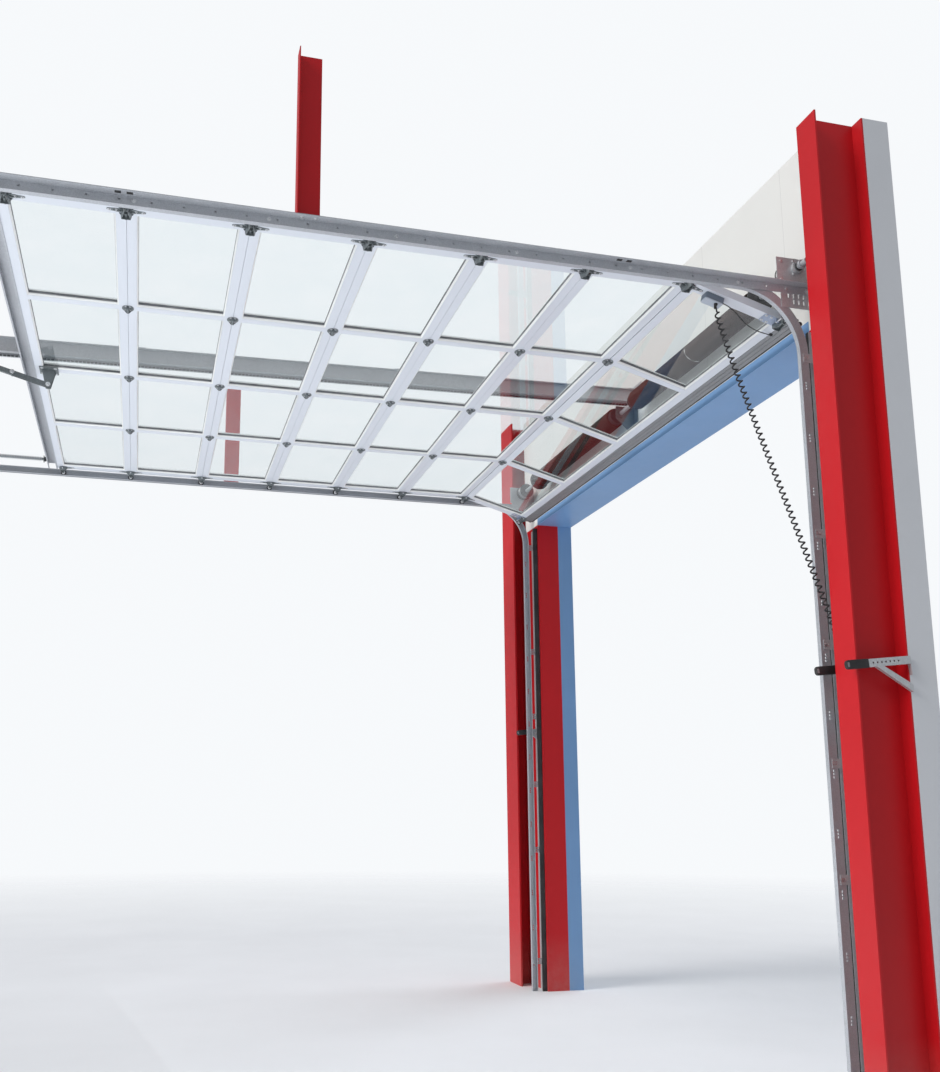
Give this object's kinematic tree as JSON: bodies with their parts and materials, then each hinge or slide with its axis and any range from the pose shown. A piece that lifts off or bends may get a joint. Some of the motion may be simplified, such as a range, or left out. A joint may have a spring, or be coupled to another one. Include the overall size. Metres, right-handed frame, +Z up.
{
  "type": "sectional overhead door bay",
  "caption": "Raised glazed sectional overhead door of an apparatus bay, with its steel columns, jambs, header, tracks, counterbalance, drawbar operator and coiled edge cord.",
  "frame": {"origin": "centre of the foot of the column between this bay and the next, on the floor", "axes": "+X along the wall to the far column, +Y into the building, +Z up"},
  "size_m": [5.2762, 6.465, 5.4],
  "materials": {
    "red_steel": "red gloss paint",
    "trim": "blue-grey satin paint",
    "wall_panel": "light grey satin paint",
    "liner": "white satin paint",
    "galvanised": "galvanised",
    "dark_steel": "dark zinc",
    "spring_steel": "oiled dark steel",
    "white_aluminium": "white powder coat",
    "clear_glass": "clear",
    "black_rubber": "matt",
    "grey_box": "matt",
    "cable": "bright wire",
    "black_cord": "satin"
  },
  "bodies": {
    "root": {"bearing_plates": "galvanised", "bottom_retainer": "galvanised", "bottom_seal": "black_rubber", "bumpers": "dark_steel", "cable_drums": "dark_steel", "centre_bearing": "dark_steel", "centre_hinges": "dark_steel", "coil_cord": "black_cord", "cord_box": "grey_box", "edge_lead": "black_cord", "edge_sensor_box": "grey_box", "far_column": "red_steel", "far_end_hinges": "dark_steel", "far_horizontal_track": "galvanised", "far_jamb": "red_steel", "far_jamb_trim": "trim", "far_outer_wall": "wall_panel", "far_track_angle": "galvanised", "far_vertical_track": "galvanised", "header_liner": "liner", "header_outer_wall": "wall_panel", "header_trim": "trim", "jamb_seals": "black_rubber", "lift_cables": "cable", "motor_hangers": "galvanised", "near_column": "red_steel", "near_end_hinges": "dark_steel", "near_horizontal_track": "galvanised", "near_jamb": "red_steel", "near_jamb_trim": "trim", "near_outer_wall": "wall_panel", "near_track_angle": "galvanised", "near_vertical_track": "galvanised", "operator_arm": "dark_steel", "operator_motor": "grey_box", "operator_rail": "galvanised", "rest_tips": "black_rubber", "rests": "galvanised", "section_1_frame": "white_aluminium", "section_1_glass": "clear_glass", "section_2_frame": "white_aluminium", "section_2_glass": "clear_glass", "section_3_frame": "white_aluminium", "section_3_glass": "clear_glass", "section_4_frame": "white_aluminium", "section_4_glass": "clear_glass", "section_5_frame": "white_aluminium", "section_5_glass": "clear_glass", "section_6_frame": "white_aluminium", "section_6_glass": "clear_glass", "section_7_frame": "white_aluminium", "section_7_glass": "clear_glass", "top_strut": "galvanised", "torsion_shaft": "galvanised", "torsion_springs": "spring_steel", "track_clips": "galvanised", "track_hangers": "red_steel", "wall_angles": "galvanised"}
  },
  "joints": []
}
